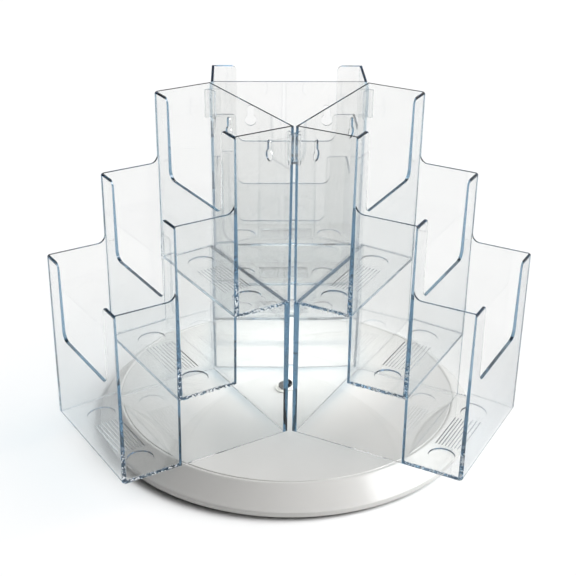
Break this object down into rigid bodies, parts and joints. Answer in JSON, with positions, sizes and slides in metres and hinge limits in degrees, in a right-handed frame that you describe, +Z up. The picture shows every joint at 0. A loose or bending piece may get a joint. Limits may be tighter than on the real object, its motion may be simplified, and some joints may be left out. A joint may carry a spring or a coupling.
{
  "type": "revolving leaflet holder",
  "caption": "Counter-top revolving leaflet holder: clear stepped three-pocket holders set in a triangle on a round white turntable with a ball bearing.",
  "frame": {"origin": "centre of the base plate's underside, on the turning axis, at the height of the resting surface", "axes": "+Z up along the turning axis; one corner of the triangle of holders points along -Y and the third holder faces +Y"},
  "size_m": [0.3466, 0.3138, 0.2583],
  "materials": {
    "clear_plastic": "clear injection-moulded polystyrene, polished, faintly blue at its edges",
    "clip_plastic": "clear moulded plastic",
    "white_plastic": "white moulded plastic, satin gloss",
    "base_plastic": "white moulded plastic, dull",
    "black_rubber": "black rubber",
    "steel": "zinc plated steel",
    "black_steel": "black oxide steel",
    "brass": "machined brass",
    "nylon": "natural nylon"
  },
  "bodies": {
    "base": {"base_plate": "base_plastic", "rubber_foot_1": "black_rubber", "rubber_foot_2": "black_rubber", "rubber_foot_3": "black_rubber", "rubber_foot_4": "black_rubber", "rubber_foot_5": "black_rubber", "rubber_foot_6": "black_rubber", "lower_race": "steel", "threaded_insert": "brass", "pivot_bolt": "black_steel", "pivot_washer": "nylon"},
    "cage": {"ball_cage": "nylon", "bearing_ball_1": "steel", "bearing_ball_2": "steel", "bearing_ball_3": "steel", "bearing_ball_4": "steel", "bearing_ball_5": "steel", "bearing_ball_6": "steel", "bearing_ball_7": "steel", "bearing_ball_8": "steel", "bearing_ball_9": "steel", "bearing_ball_10": "steel", "bearing_ball_11": "steel", "bearing_ball_12": "steel"},
    "turntable": {"turntable_disc": "white_plastic", "upper_race": "steel", "pivot_bush": "nylon", "leaflet_holder_rear": "clear_plastic", "leaflet_holder_left": "clear_plastic", "leaflet_holder_right": "clear_plastic", "corner_clip_front": "clip_plastic", "corner_clip_left": "clip_plastic", "corner_clip_right": "clip_plastic"}
  },
  "joints": [
    {"name": "turntable_spin", "type": "hinge", "parent": "base", "child": "turntable", "pos_m": [0, 0, 0.021], "axis": [0, 0, 1], "continuous": true},
    {"name": "cage_spin", "type": "hinge", "parent": "base", "child": "cage", "pos_m": [0, 0, 0.0098], "axis": [0, 0, 1], "continuous": true}
  ],
  "couplings": [
    {"joint": "cage_spin", "follows": "turntable_spin", "ratio": 0.5}
  ]
}
